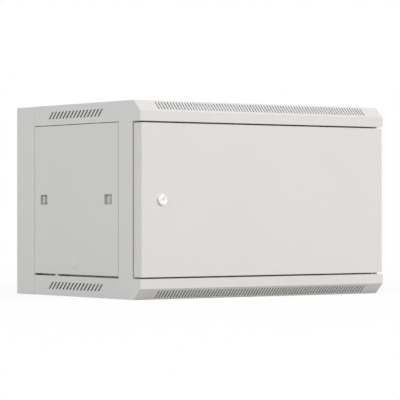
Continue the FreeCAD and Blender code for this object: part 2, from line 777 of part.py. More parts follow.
def lock_cam_screw():
    back = CAM_FRONT + CAM_THICKNESS
    return faceted("xz", (LOCK_X, LOCK_Z), 4.5, back, back + 2.5, sides=6)


def lock_nut():
    """Hexagonal nut that clamps the barrel to the leaf."""
    nut = faceted("xz", (LOCK_X, LOCK_Z), 11.0, SHEET, SHEET + 3.5, sides=6)
    return nut.cut(lock_body(0, SHEET + 4))


# Side panel and its latches, left-hand side

def pocket_block(inset, x_range, middle_y):
    y_range = around(middle_y, POCKET_LENGTH - 2 * inset)
    return block(x_range, y_range, around(LATCH_Z, POCKET_HEIGHT - 2 * inset))


def tab_front(middle_y):
    """Front end of the front latch's tab, with the bolt drawn back."""
    return middle_y - POCKET_LENGTH / 2 + POCKET_WALL + TAB_PLAY + LATCH_TRAVEL


def side_panel():
    """Panel with returned edges, two latch cut-outs and the lock hole."""
    y_range = (PANEL_FRONT, PANEL_BACK)
    panel = block((-HALF, -HALF + PANEL_DEPTH), y_range, (PANEL_BOTTOM, PANEL_TOP))
    hollow = block(
        (SHEET - HALF, -HALF + PANEL_DEPTH + 1), (PANEL_FRONT + SHEET, PANEL_BACK - SHEET),
        (PANEL_BOTTOM + SHEET, PANEL_TOP - SHEET))
    through = (-HALF - 1, -HALF + 2 * SHEET)
    tools = [hollow]
    for side in (-1, 1):
        tools.append(pocket_block(0, through, SIDE_MIDDLE_Y + side * LATCH_OFFSET))
    tools.append(bolt_slot((PANEL_FRONT - 1, PANEL_FRONT + 2 * SHEET)))
    tools.append(bolt_slot((PANEL_BACK - 2 * SHEET, PANEL_BACK + 1)))
    tools.append(blank_shank(*through))
    return cut_all(panel, tools)


def latch_housing():
    """Front latch's moulded pocket: cup, flange behind the sheet and two guides for the bolt."""
    middle_y = SIDE_MIDDLE_Y - LATCH_OFFSET
    floor_x = -HALF + POCKET_DEPTH
    cup = pocket_block(0, (-HALF, floor_x), middle_y)
    hollow = pocket_block(POCKET_WALL, (-HALF - 1, floor_x - POCKET_WALL), middle_y)
    flange = pocket_block(-4, (SHEET - HALF, SHEET - HALF + POCKET_WALL), middle_y)
    tab_start = tab_front(middle_y)
    slot = block(
        (floor_x - 2 * POCKET_WALL, floor_x + 1),
        (tab_start - LATCH_TRAVEL, tab_start + TAB_LENGTH + TAB_PLAY), around(LATCH_Z, TAB_HEIGHT))
    guide_x = (floor_x, floor_x + BOLT_THICKNESS + 2 * BOLT_PLAY)
    inner = BOLT_WIDTH / 2 + BOLT_PLAY
    guides = [
        block(guide_x, around(middle_y, POCKET_LENGTH), (LATCH_Z + inner, LATCH_Z + inner + 2)),
        block(guide_x, around(middle_y, POCKET_LENGTH), (LATCH_Z - inner - 2, LATCH_Z - inner)),
    ]
    return joined(cup, flange, *guides).cut(hollow).cut(slot)


def latch_bolt():
    """Front latch's bolt, drawn back: flat bar with a bevelled tip and the finger tab in the pocket."""
    middle_y = SIDE_MIDDLE_Y - LATCH_OFFSET
    x_low = -HALF + POCKET_DEPTH + BOLT_PLAY
    x_high = x_low + BOLT_THICKNESS
    tip = PANEL_FRONT + 0.2
    outline = [
        (x_low, tip + 2), (x_low + 2, tip), (x_high, tip),
        (x_high, middle_y + POCKET_LENGTH / 2), (x_low, middle_y + POCKET_LENGTH / 2),
    ]
    bar = prism("xy", outline, *around(LATCH_Z, BOLT_WIDTH))
    tab_start = tab_front(middle_y)
    tab = block(
        (-HALF + 1.5, x_low), (tab_start, tab_start + TAB_LENGTH), around(LATCH_Z, TAB_HEIGHT - 1))
    return joined(bar, tab)


def lock_hole_plug():
    """Blanking plug: a low round head outside and a square shank through the sheet."""
    head = faceted("yz", (SIDE_MIDDLE_Y, BLANK_Z), BLANK_RADIUS, -HALF - BLANK_PROUD, -HALF, sides=32)
    return joined(head, blank_shank(-HALF, -HALF + 5))


def blank_shank(x_low, x_high):
    return block((x_low, x_high), around(SIDE_MIDDLE_Y, BLANK_SHANK), around(BLANK_Z, BLANK_SHANK))


def save(name, *solids):
    """Write one node: its solids moved so that the origin is under the middle of the cabinet."""
    shape = Part.makeCompound(list(solids)) if len(solids) > 1 else solids[0]
    shape = shape.copy()
    shape.translate(Vector(0, FRONT_Y, 0))
    shape.exportStep("parts/" + name + ".step")


def save_pair(name, left):
    save(name + "_left", left)
    save(name + "_right", other_side(left))


def on_both_sides(solids):
    return list(solids) + [other_side(solid) for solid in solids]


os.makedirs("parts", exist_ok=True)

save("top_cover", top_cover())
save("bottom_cover", bottom_cover())
save("rear_frame", rear_frame())
save("back_panel", back_panel())
save("back_entry_cover", back_entry_cover())
save("bottom_entry_cover", bottom_entry_cover())
save("top_entry_cover", top_entry_cover())
save("cover_screws", *[piece for group in ("panel", "back", "floor", "roof") for piece in cover_screws(group)])
save("earth_stud", earth_stud())
save("earth_nut", earth_nut())

save_pair("front_post", front_post())
save_pair("rear_post", rear_post())
save_pair("lower_sill", lower_sill())
save_pair("upper_sill", upside_down(lower_sill()))
save("panel_rest_pads", *on_both_sides([rest_pad()]))

save_pair("lower_runner", runner())
save_pair("upper_runner", upside_down(runner()))
save_pair("front_rack_rail", rack_rail(FRONT_RAIL_Y, FRONT_RAIL_Y + RAIL_DEPTH))
save_pair("back_rack_rail", rack_rail(BACK_RAIL_Y, BACK_RAIL_Y - RAIL_DEPTH))
bolt_rows = (FRONT_RAIL_Y + RAIL_DEPTH / 2, BACK_RAIL_Y - RAIL_DEPTH / 2)
save("rail_bolts", *on_both_sides([bolt for y in bolt_rows for bolt in rail_bolts(y)]))
save("rail_nuts", *on_both_sides([nut for y in bolt_rows for nut in rail_nuts(y)]))

save("door_shell", door_shell())
save("door_stiffener", door_stiffener())
save("door_bumpers", bumper(MIDDLE_Z - 120), bumper(MIDDLE_Z + 120))
save("hinge_bushes", bottom_bush(), upside_down(bottom_bush()))
save("bottom_hinge_pin", bottom_hinge_pin())
save("top_hinge_pin", top_hinge_pin())
save("hinge_pin_bracket", hinge_pin_bracket())
save("hinge_spring", hinge_spring())
save("lock_barrel", lock_barrel())
save("lock_nut", lock_nut())
save("lock_plug", lock_plug())
save("lock_cam", lock_cam())
save("lock_cam_screw", lock_cam_screw())

save_pair("side_panel", side_panel())
save_pair("front_latch_housing", latch_housing())
save_pair("back_latch_housing", front_to_back(latch_housing()))
save_pair("front_latch_bolt", latch_bolt())
save_pair("back_latch_bolt", front_to_back(latch_bolt()))
save_pair("lock_hole_plug", lock_hole_plug())
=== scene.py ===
import json
import math

import bmesh
import bpy
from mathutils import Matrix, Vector

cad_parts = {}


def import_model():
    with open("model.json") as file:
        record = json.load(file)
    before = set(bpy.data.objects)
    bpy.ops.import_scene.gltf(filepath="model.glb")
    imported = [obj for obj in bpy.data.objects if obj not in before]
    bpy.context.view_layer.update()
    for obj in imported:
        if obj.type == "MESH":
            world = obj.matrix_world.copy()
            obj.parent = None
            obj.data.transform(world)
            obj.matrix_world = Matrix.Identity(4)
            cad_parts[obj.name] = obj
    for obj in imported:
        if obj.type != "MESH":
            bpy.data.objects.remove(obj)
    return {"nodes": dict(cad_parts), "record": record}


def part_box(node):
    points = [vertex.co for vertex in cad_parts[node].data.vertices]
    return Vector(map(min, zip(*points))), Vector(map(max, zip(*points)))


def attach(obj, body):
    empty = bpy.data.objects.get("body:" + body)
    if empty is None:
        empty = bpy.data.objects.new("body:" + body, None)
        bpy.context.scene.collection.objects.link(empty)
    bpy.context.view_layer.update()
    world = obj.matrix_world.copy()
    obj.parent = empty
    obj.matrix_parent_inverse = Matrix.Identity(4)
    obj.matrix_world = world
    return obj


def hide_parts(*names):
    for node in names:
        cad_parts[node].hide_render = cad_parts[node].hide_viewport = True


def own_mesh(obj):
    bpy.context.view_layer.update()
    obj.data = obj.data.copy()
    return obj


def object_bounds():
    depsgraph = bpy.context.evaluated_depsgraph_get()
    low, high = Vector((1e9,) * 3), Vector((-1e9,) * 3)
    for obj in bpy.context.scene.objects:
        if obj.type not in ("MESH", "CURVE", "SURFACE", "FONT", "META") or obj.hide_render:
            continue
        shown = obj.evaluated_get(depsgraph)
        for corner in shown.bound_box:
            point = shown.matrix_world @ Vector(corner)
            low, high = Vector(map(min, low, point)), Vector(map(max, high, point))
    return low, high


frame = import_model()
nodes = frame["nodes"]
cad_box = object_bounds()
BODIES = frame["record"]["behaviour"]["bodies"]
BODY_OF = {node: body for body, members in BODIES.items() for node in members}
SLOT_OF = {part["node"]: part["material_slot"] for part in frame["record"]["subparts"]}

MM = 0.001
LOCK_PROUD = 5.5 * MM  # how far the lock's ring stands out of the door
FRONT = cad_box[0].y + LOCK_PROUD  # the plane of the noses and the door
ENDS = ("front", "back")
SIDES = ("left", "right")


# ---------------------------------------------------------------- materials

WHOLE = (0, 1)
NOISE_RANGE = (0.3, 0.7)  # where nearly all of a noise's values lie


class Tree:
    """A node tree, with short calls for the nodes that it is wired from."""

    def __init__(self, owner):
        owner.use_nodes = True
        self.nodes = owner.node_tree.nodes
        self.links = owner.node_tree.links

    def add(self, kind, **values):
        node = self.nodes.new(kind)
        for name, value in values.items():
            setattr(node, name, value)
        return node

    def feed(self, socket, value):
        """Links another node's output to the socket, or writes a plain value there."""
        if isinstance(value, bpy.types.NodeSocket):
            self.links.new(value, socket)
        else:
            socket.default_value = value

    def maths(self, operation, a, b):
        node = self.add("ShaderNodeMath", operation=operation)
        self.feed(node.inputs[0], a)
        self.feed(node.inputs[1], b)
        return node.outputs["Value"]

    def seen(self):
        """1 where the camera, a reflection or glass sees the surface, and 0 for the light that it gives."""
        path = self.add("ShaderNodeLightPath")
        seen = self.maths("MAXIMUM", path.outputs["Is Camera Ray"], path.outputs["Is Glossy Ray"])
        return self.maths("MAXIMUM", seen, path.outputs["Is Transmission Ray"])

    def plain(self, kind, **values):
        """A shader of one colour."""
        node = self.add(kind)
        for name, value in values.items():
            node.inputs[name].default_value = value
        return node.outputs[0]

    def blend(self, factor, a, b):
        """One shader where the factor is 0, and the other where it is 1."""
        node = self.add("ShaderNodeMixShader")
        for socket, value in zip(node.inputs, (factor, a, b)):
            self.feed(socket, value)
        return node.outputs["Shader"]


class Finish(Tree):
    """A material's node tree. Scales are per metre, and bump distances are in metres."""

    def __init__(self, name):
        self.material = bpy.data.materials.new(name)
        super().__init__(self.material)
        self.shader = self.nodes["Principled BSDF"]
        self.place = self.add("ShaderNodeTexCoord").outputs["Object"]

    def noise(self, scale, detail, roughness=0.5, place=None):
        node = self.add("ShaderNodeTexNoise")
        self.feed(node.inputs["Vector"], place or self.place)
        node.inputs["Scale"].default_value = scale
        node.inputs["Detail"].default_value = detail
        node.inputs["Roughness"].default_value = roughness
        return node.outputs["Fac"]

    def cells(self, scale):
        node = self.add("ShaderNodeTexVoronoi")
        self.feed(node.inputs["Vector"], self.place)
        node.inputs["Scale"].default_value = scale
        return node.outputs["Color"]

    def stretched(self, scale):
        node = self.add("ShaderNodeMapping")
        self.feed(node.inputs["Vector"], self.place)
        node.inputs["Scale"].default_value = scale
        return node.outputs["Vector"]

    def spread(self, value, new, old=NOISE_RANGE):
        """The value taken from its old range to a new one, and kept within it."""
        node = self.add("ShaderNodeMapRange")
        self.feed(node.inputs["Value"], value)
        names = ("From Min", "From Max", "To Min", "To Max")
        for name, number in zip(names, (*old, *new)):
            node.inputs[name].default_value = number
        return node.outputs["Result"]

    def mix(self, factor, a, b):
        """One colour where the factor is 0, and the other where it is 1."""
        node = self.add("ShaderNodeMix", data_type="RGBA")
        self.feed(node.inputs["Factor"], factor)
        for socket, value in ((node.inputs["A"], a), (node.inputs["B"], b)):
            linked = isinstance(value, bpy.types.NodeSocket)
            self.feed(socket, value if linked else (*value, 1))
        return node.outputs["Result"]

    def attribute(self, name):
        """1 on the faces marked with "edge", the rounded edges, or with "recess", the recessed faces that
        get painted shade, and 0 elsewhere.
        """
        return self.add("ShaderNodeAttribute", attribute_name=name).outputs["Fac"]

    def bump(self, height, distance, strength, before=None):
        node = self.add("ShaderNodeBump")
        self.feed(node.inputs["Height"], height)
        node.inputs["Distance"].default_value = distance
        node.inputs["Strength"].default_value = strength
        if before is not None:
            self.feed(node.inputs["Normal"], before)
        return node.outputs["Normal"]

    def out(self, **values):
        for name, value in values.items():
            self.feed(self.shader.inputs[name.replace("_", " ")], value)
        return self.material


def shade(colour, factor):
    return tuple(channel * factor for channel in colour)


def powder_coat(name, colour, roughness=0.5):
    """Powder coat: a fine grain over an orange peel, a cloudy, speckled tone, and darker scuffed edges."""
    tree = Finish(name)
    cloud = tree.spread(tree.noise(5, 3), WHOLE)
    speckle = tree.spread(tree.noise(1400, 1), WHOLE, (0.35, 0.65))
    tone = tree.mix(cloud, shade(colour, 0.985), shade(colour, 1.008))
    tone = tree.mix(tree.maths("MULTIPLY", speckle, 0.35), tone, shade(colour, 0.95))
    scuffs = tree.spread(tree.noise(60, 6, 0.7), WHOLE, (0.62, 0.72))
    wear = tree.maths("ADD", 0.25, tree.maths("MULTIPLY", scuffs, 0.5))
    worn = tree.maths("MULTIPLY", tree.attribute("edge"), wear)
    tone = tree.mix(worn, tone, shade(colour, 0.88))
    gloss = tree.spread(tree.noise(30, 4, 0.6), (roughness - 0.05, roughness + 0.06))
    peel = tree.bump(tree.noise(420, 2, 0.4), 0.00006, 0.5)
    grain = tree.bump(tree.noise(2600, 1), 0.00002, 0.6, peel)
    return tree.out(Base_Color=tone, Roughness=gloss, Normal=grain, Specular_IOR_Level=0.4)


def moulded(name, colour, roughness=0.5):
    """Moulded plastic: a spark-eroded grain, a cloudy tone, and slightly lighter edges."""
    tree = Finish(name)
    cloud = tree.spread(tree.noise(40, 3), WHOLE)
    tone = tree.mix(cloud, shade(colour, 0.96), shade(colour, 1.02))
    tone = tree.mix(tree.maths("MULTIPLY", tree.attribute("edge"), 0.4), tone, shade(colour, 1.06))
    gloss = tree.spread(tree.noise(300, 3), (roughness - 0.07, roughness + 0.07))
    grain = tree.bump(tree.noise(1800, 2), 0.00003, 0.7)
    return tree.out(Base_Color=tone, Roughness=gloss, Normal=grain)


def plated_sheet(name, colour):
    """Galvanised sheet: spangle in its tone and its gloss, with faint rolling lines."""
    tree = Finish(name)
    spangle = tree.spread(tree.cells(140), WHOLE, WHOLE)
    lines = tree.noise(220, 3, 0.6, tree.stretched((1, 1, 0.05)))
    tone = tree.mix(spangle, shade(colour, 0.84), colour)
    tone = tree.mix(tree.spread(lines, (0, 0.35), (0.4, 0.65)), tone, shade(colour, 0.8))
    gloss = tree.maths("ADD", tree.spread(spangle, (0.3, 0.46), WHOLE), tree.spread(lines, (-0.04, 0.04)))
    normal = tree.bump(lines, 0.00003, 0.5)
    return tree.out(Base_Color=tone, Roughness=gloss, Normal=normal, Metallic=0.9)


def plated_steel(name, colour, roughness=0.3, mottling=0.14):
    """Plated small metalwork: mottled plating, brighter on rubbed edges, and painted shade with a rougher
    finish on its recessed faces.
    """
    tree = Finish(name)
    mottle = tree.spread(tree.noise(260, 4, 0.6), WHOLE)
    tone = tree.mix(mottle, shade(colour, 1 - mottling), colour)
    tone = tree.mix(tree.maths("MULTIPLY", tree.attribute("edge"), 0.6), tone, shade(colour, 1.02))
    # painted shade: the faces marked as recessed are darkened to 0.7 of the colour, and made rougher
    shaded_recess = tree.attribute("shaded_recess")
    tone = tree.mix(tree.maths("MULTIPLY", shaded_recess, 0.9), tone, shade(colour, 0.7))
    gloss = tree.spread(tree.noise(700, 3), (roughness - 0.06, roughness + 0.1))
    gloss = tree.maths("ADD", gloss, tree.maths("MULTIPLY", shaded_recess, 0.2))
    normal = tree.bump(tree.noise(1500, 2), 0.00001, 0.6)
    return tree.out(Base_Color=tone, Roughness=gloss, Normal=normal, Metallic=1.0)


def rubber(name, colour):
    """Matt rubber with a pale bloom on it."""
    tree = Finish(name)
    bloom = tree.spread(tree.noise(150, 4), WHOLE, (0.4, 0.7))
    tone = tree.mix(bloom, colour, shade(colour, 1.7))
    gloss = tree.spread(tree.noise(500, 3), (0.65, 0.85))
    grain = tree.bump(tree.noise(2200, 2), 0.00005, 0.8)
    return tree.out(Base_Color=tone, Roughness=gloss, Normal=grain)


CASE = (0.712, 0.692, 0.677)
MATERIALS = {
    "cabinet_paint": powder_coat("cabinet_paint", CASE),
    "panel_paint": powder_coat("panel_paint", CASE),
    "door_paint": powder_coat("door_paint", CASE),
    "blank_plastic": moulded("blank_plastic", CASE, 0.4),
    "zinc_steel": plated_sheet("zinc_steel", (0.66, 0.67, 0.68)),
    "fastener_zinc": plated_steel("fastener_zinc", (0.68, 0.68, 0.66)),
    "lock_nickel": plated_steel("lock_nickel", (0.96, 0.955, 0.945), 0.13, 0.03),
    "hinge_plastic": moulded("hinge_plastic", (0.78, 0.78, 0.76), 0.4),
    "latch_plastic": moulded("latch_plastic", shade(CASE, 0.9)),
    "pad_plastic": moulded("pad_plastic", shade(CASE, 0.95)),
    "bumper_rubber": rubber("bumper_rubber", (0.02, 0.02, 0.021)),
}


# ---------------------------------------------------------------- mesh tools

WELD = 2e-6  # points nearer than this are one point
ON_PLANE = 1e-6  # points nearer than this to a plane lie in it
FLAT = math.radians(0.6)  # faces that meet at less than this are one flat face
EASED = math.radians(24)  # edges that bend more than this are rounded
CREASED = math.radians(38)  # edges that bend more than this show as a crease
SQUARE = math.radians(60)  # folds that bend more than this are square, and the others blunt
BROAD = 3 * MM  # faces wider than this aren't the sheet's own edge
RIM = 1.6 * MM  # faces narrower than this are
LONG = 20 * MM  # the shortest edge that counts as a fold
FLAT_FACE_WEIGHT = 90  # how much the broad faces rule the shading round them

# The two directions across each axis, and the one along it.
AXES = {
    "x": (Vector((0, 1, 0)), Vector((0, 0, 1)), Vector((1, 0, 0))),
    "y": (Vector((0, 0, 1)), Vector((1, 0, 0)), Vector((0, 1, 0))),
    "z": (Vector((1, 0, 0)), Vector((0, 1, 0)), Vector((0, 0, 1))),
}


def middle_of(low, high, **fixed):
    """The middle of a box, with some coordinates given."""
    middle = (low + high) / 2
    for axis, value in fixed.items():
        setattr(middle, axis, value)
    return middle


def span(low, high, axis):
    """A box's size along an axis, in millimetres."""
    return (getattr(high, axis) - getattr(low, axis)) / MM


def face_angle(edge):
    return edge.calc_face_angle(0) if len(edge.link_faces) == 2 else 0


def face_width(face):
    longest = max([edge.calc_length() for edge in face.edges] + [0.01 * MM])
    return face.calc_area() / longest


def anywhere(edge):
    return True


def fold(edge):
    """An outer edge between two broad faces of folded sheet, and not along the sheet's rim."""
    broad = all(face_width(face) > BROAD for face in edge.link_faces)
    return broad and edge.is_convex and edge.calc_length() > LONG


def square_fold(edge):
    return fold(edge) and face_angle(edge) > SQUARE


def blunt_fold(edge):
    return fold(edge) and face_angle(edge) < SQUARE


def hole_corner(edge):
    """A corner of a hole punched in the sheet: a short edge through its thickness."""
    if edge.is_convex or edge.calc_length() >= RIM:
        return False
    return all(face_width(face) < RIM for face in edge.link_faces)


def square_hole_corner(edge):
    """The same, where the hole's corner is within 0.1 radians of a right angle."""
    return hole_corner(edge) and abs(face_angle(edge) - math.pi / 2) < 0.1


# Passes of rounding: the radius in millimetres, the segments, and the edges that get it.
FOLDS = ((1.4, 4, square_fold), (0.6, 3, blunt_fold))
SLOT_ENDS = (1.4, 4, square_hole_corner)
LARGE_HOLES = (0.8, 3, hole_corner)
SMALL_HOLES = (0.4, 2, hole_corner)


def finished(bm, mesh):
    """Writes the form to the mesh, smooth but for its sharp edges."""
    for face in bm.faces:
        face.smooth = True
    for edge in bm.edges:
        edge.smooth = face_angle(edge) < CREASED
    bm.to_mesh(mesh)
    bm.free()
    return mesh


def rounding(mesh, passes, heights=()):
    """Rounds sharp edges, one pass after another. The faces made get 1 in the attribute "edge".
    A flat face with a row of holes stays split at the row's height."""
    mesh.materials.clear()
    bm = bmesh.new()
    bm.from_mesh(mesh)
    bmesh.ops.remove_doubles(bm, verts=bm.verts, dist=WELD)
    for height in heights:
        everything = list(bm.verts) + list(bm.edges) + list(bm.faces)
        split = bmesh.ops.bisect_plane(
            bm, geom=everything, dist=ON_PLANE, plane_co=(0, 0, height), plane_no=(0, 0, 1))
        for item in split["geom_cut"]:
            if isinstance(item, bmesh.types.BMEdge):
                item.seam = True
    bmesh.ops.dissolve_limit(
        bm, angle_limit=FLAT, verts=bm.verts, edges=bm.edges, use_dissolve_boundaries=False,
        delimit={"SEAM"})
    mark = bm.faces.layers.float.new("edge")
    for radius, segments, rule in passes:
        chosen = [edge for edge in bm.edges if face_angle(edge) > EASED and rule(edge)]
        if not chosen:
            continue
        made = bmesh.ops.bevel(
            bm, geom=chosen, offset=radius * MM, offset_type="OFFSET", segments=segments, profile=0.5,
            affect="EDGES", clamp_overlap=True, loop_slide=True, harden_normals=False)
        for face in made["faces"]:
            face[mark] = 1.0
    return finished(bm, mesh)


def placed(node, mesh):
    """An object made of this mesh, in place of a CAD node, with its slot and its finish."""
    piece = bpy.data.objects.new(node + ".form", mesh)
    bpy.context.scene.collection.objects.link(piece)
    mesh.materials.clear()
    mesh.materials.append(MATERIALS[SLOT_OF[node]])
    normals = piece.modifiers.new("normals", "WEIGHTED_NORMAL")
    normals.keep_sharp = True
    normals.weight = FLAT_FACE_WEIGHT
    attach(piece, BODY_OF[node])
    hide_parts(node)
    return piece


def dressed(node, radius=0.25, segments=2, before=(), heights=()):
    """The CAD node's own form, its edges eased by the given passes and then every other sharp one."""
    passes = list(before) + [(radius, segments, anywhere)]
    placed(node, rounding(nodes[node].data.copy(), passes, heights))


def solids(node):
    """The lowest and highest corner of each separate solid in a node."""
    bm = bmesh.new()
    bm.from_mesh(nodes[node].data)
    bmesh.ops.remove_doubles(bm, verts=bm.verts, dist=WELD)
    left = set(bm.verts)
    found = []
    while left:
        reached = [left.pop()]
        places = []
        while reached:
            vert = reached.pop()
            places.append(vert.co.copy())
            near = {edge.other_vert(vert) for edge in vert.link_edges} & left
            left -= near
            reached += near
        low = Vector([min(place[axis] for place in places) for axis in range(3)])
        high = Vector([max(place[axis] for place in places) for axis in range(3)])
        found.append((low, high))
    bm.free()
    return sorted(found, key=lambda corners: tuple(corners[0]))


def skin(bm, loops):
    """Faces from each closed loop of points to the next one."""
    faces = []
    for near, far in zip(loops, loops[1:]):
        for corners in zip(near, near[1:] + near[:1], far[1:] + far[:1], far):
            faces.append(bm.faces.new(corners))
    return faces


class Form:
    """A mesh put together from turned and boxed shapes. Sizes are in millimetres and places in metres."""

    def __init__(self):
        self.bm = bmesh.new()
        self.mark = self.bm.faces.layers.float.new("edge")
        # marks the faces in a recessed hollow, which the plated finish darkens with painted shade
        self.shade_mark = self.bm.faces.layers.float.new("shaded_recess")

    def turned(self, axis, start, rings, way=1, sides=32, bored=False, shaded_recess=0):
        """A form turned about an axis. A ring is (distance, radius), or a rule that gives both for an angle.
        A bored form's last ring joins its first. Faces up to the ring numbered by the last argument are
        recessed ones that get painted shade."""
        across, up, along = AXES[axis]
        loops = []
        for ring in rings:
            loop = []
            for side in range(sides):
                angle = 2 * math.pi * side / sides
                distance, radius = ring(angle) if callable(ring) else ring
                out = across * math.cos(angle) + up * math.sin(angle)
                loop.append(self.bm.verts.new(start + (along * way * distance + out * radius) * MM))
            loops.append(loop)
        if bored:
            loops.append(loops[0])
            faces = []
        else:
            faces = [self.bm.faces.new(loops[-1]), self.bm.faces.new(loops[0])]
        faces += skin(self.bm, loops)
        if shaded_recess:
            for face in faces[1:2 + shaded_recess * sides]:
                face[self.shade_mark] = 1.0
        bmesh.ops.recalc_face_normals(self.bm, faces=faces)

    def box(self, low, high, radius=0.3, segments=2):
        """A box from one corner to the other, with rounded edges."""
        cube = bmesh.ops.create_cube(self.bm, size=1.0)["verts"]
        for vert in cube:
            share = vert.co + Vector((0.5, 0.5, 0.5))
            vert.co = Vector([a + (b - a) * part for a, b, part in zip(low, high, share)])
        edges = {edge for vert in cube for edge in vert.link_edges}
        made = bmesh.ops.bevel(
            self.bm, geom=list(edges), offset=radius * MM, segments=segments, profile=0.5, affect="EDGES")
        for face in made["faces"]:
            face[self.mark] = 1.0

    def mesh(self):
        return finished(self.bm, bpy.data.meshes.new("form"))


def carved(mesh, cutter):
    """The mesh less another one's volume."""
    bodies = []
    for shape in (mesh, cutter):
        body = bpy.data.objects.new("carving", shape)
        bpy.context.scene.collection.objects.link(body)
        bodies.append(body)
    cut = bodies[0].modifiers.new("cut", "BOOLEAN")
    cut.operation = "DIFFERENCE"
    cut.solver = "EXACT"
    cut.object = bodies[1]
    seen = bodies[0].evaluated_get(bpy.context.evaluated_depsgraph_get())
    result = bpy.data.meshes.new_from_object(seen)
    for body in bodies:
        bpy.data.objects.remove(body)
    bm = bmesh.new()
    bm.from_mesh(result)
    return finished(bm, result)


# ---------------------------------------------------------------- rings of turned forms

CONE_SLOPE = 0.577  # a nut's corners are turned off at 30 degrees


def hexagon(flat, end, way):
    """A ring with six flats, whose corners a cone turns off towards that end."""
    def ring(angle):
        radius = flat / math.cos((angle + math.pi / 6) % (math.pi / 3) - math.pi / 6)
        return end - way * (radius - flat) * CONE_SLOPE, radius
    return ring


def oblong(distance, half_length, half_width):
    """A round-ended ring, longer along the first of the axis's cross directions."""
    straight = half_length - half_width

    def ring(angle):
        along, across = abs(math.cos(angle)), abs(math.sin(angle))
        if half_width * along <= straight * across:
            return distance, half_width / across
        return distance, straight * along + math.sqrt(half_width ** 2 - (straight * across) ** 2)
    return ring


def domed(height, radius):
    """Rings of a low domed head, from its seat to its crown."""
    profile = ((0, 0.96), (0.12, 1), (0.3, 0.99), (0.55, 0.9), (0.78, 0.7), (0.92, 0.45), (1, 0.12))
    return [(height * share, radius * size) for share, size in profile]


def threaded(start, end, radius, pitch=1.0):
    """Rings of a threaded length."""
    root = radius - 0.3 * pitch
    rings = []
    for turn in range(int((end - start) / pitch)):
        low = start + turn * pitch
        rings += [(low + 0.1 * pitch, root), (low + 0.55 * pitch, radius)]
    return rings + [(end, root)]


def nut(form, axis, start, height, flat, hole):
    """Adds a nut to a form. Flat is its radius to the middle of a flat, and hole its bore's radius."""
    rim = 0.15 * hole
    seat = flat * 0.97
    rings = [
        (0, hole + rim), (0, seat), hexagon(flat, 0, -1), hexagon(flat, height, 1), (height, seat),
        (height, hole + rim), (height - rim, hole), (rim, hole)]
    form.turned(axis, start, rings, 1, 48, bored=True)


# ---------------------------------------------------------------- folded sheet and mouldings

RUNNER_SLOTS = {"lower_runner": 30 * MM, "upper_runner": 350 * MM}  # the heights of their rows
LATCH_HEIGHT = 191.5 * MM

for node in ("top_cover", "bottom_cover"):
    dressed(node, before=(SLOT_ENDS,) + FOLDS)
for node in ("rear_frame", "back_panel", "back_entry_cover", "bottom_entry_cover", "top_entry_cover"):
    dressed(node, before=(LARGE_HOLES,) + FOLDS)
for node in ("door_shell", "door_stiffener", "side_panel_left", "side_panel_right", "hinge_pin_bracket"):
    dressed(node, before=FOLDS)
for kind in ("front_post", "rear_post", "lower_sill", "upper_sill", "front_rack_rail", "back_rack_rail"):
    for side in SIDES:
        dressed(f"{kind}_{side}", before=(SMALL_HOLES,) + FOLDS)
for side in SIDES:
    for kind, height in RUNNER_SLOTS.items():
        dressed(f"{kind}_{side}", before=(SMALL_HOLES,) + FOLDS, heights=(height,))
dressed("panel_rest_pads", 0.5, 3)
for end in ENDS:
    for side in SIDES:
        dressed(f"{end}_latch_housing_{side}", 0.35, 3, heights=(LATCH_HEIGHT,))
dressed("lock_cam", 0.4, 3)


def latch_bolt(node):
    """The flat bolt with its bevelled tip, and ribs for a fingertip across the tab."""
    rib_count = 4
    rib_reach = 5 * MM  # half of its length
    rib_half_width = 0.55 * MM
    tab_reach = 6.8 * MM  # how far in from the panel's face the tab's ends go
    tab_round = 0.35 * MM  # how far from the tab's end its rounded edges go
    clearance = 0.1 * MM
    form = Form()
    form.bm.from_mesh(rounding(nodes[node].data.copy(), [(0.3, 2, anywhere)]))
    low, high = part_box(node)
    outside, way = (low.x, 1) if low.x < 0 else (high.x, -1)
    tab = [vert.co.y for vert in nodes[node].data.vertices if abs(vert.co.x - outside) < 0.1 * MM]
    start, end = min(tab), max(tab)
    for vert in form.bm.verts:  # the tab's ends stay clear of the pocket at full travel
        for tab_end, inward in ((start, clearance), (end, -clearance)):
            if abs(vert.co.y - tab_end) < tab_round and abs(vert.co.x - outside) < tab_reach:
                vert.co.y += inward
    middle = middle_of(low, high).z
    ends = sorted((outside - way * 0.5 * MM, outside + way * 0.4 * MM))
    for number in range(rib_count):
        y = start + (end - start) * (number + 0.5) / rib_count
        near = (ends[0], y - rib_half_width, middle - rib_reach)
        far = (ends[1], y + rib_half_width, middle + rib_reach)
        form.box(near, far, 0.3, 3)
    placed(node, form.mesh())


def blanking_plug(node):
    """A domed cap on the panel, with a rim, and four legs that snap in behind the sheet."""
    rim = 0.1
    proud = 1.0
    dome = 0.42  # the share of the radius over which the dome rises from the rim
    leg_place = 5.2  # from the plug's middle, both ways
    leg_half = 2.1
    low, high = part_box(node)
    outside, inside, way = (low.x, high.x, 1) if low.x < 0 else (high.x, low.x, -1)
    radius = span(low, high, "z") / 2
    seat = outside + way * proud * MM
    rings = [(-0.02, radius - 0.9), (0.0, radius - 0.2), (rim, radius)]
    for share in (0.985, 0.95, 0.9, 0.84, 0.78, 0.7, 0.62, 0.5, 0.3, 0.1):
        rise = math.sin(min(1, (1 - share) / dome) * math.pi / 2)
        rings.append((rim + (proud - rim) * rise, radius * share))
    form = Form()
    form.turned("x", middle_of(low, high, x=seat), rings, -way, 64)
    ends = sorted((seat - way * 0.3 * MM, inside))
    for y_way in (-1, 1):
        for z_way in (-1, 1):
            leg = middle_of(low, high) + Vector((0, y_way * leg_place, z_way * leg_place)) * MM
            near = leg - Vector((0, leg_half, leg_half)) * MM
            far = leg + Vector((0, leg_half, leg_half)) * MM
            near.x, far.x = ends
            form.box(near, far, 0.5, 3)
    placed(node, form.mesh())


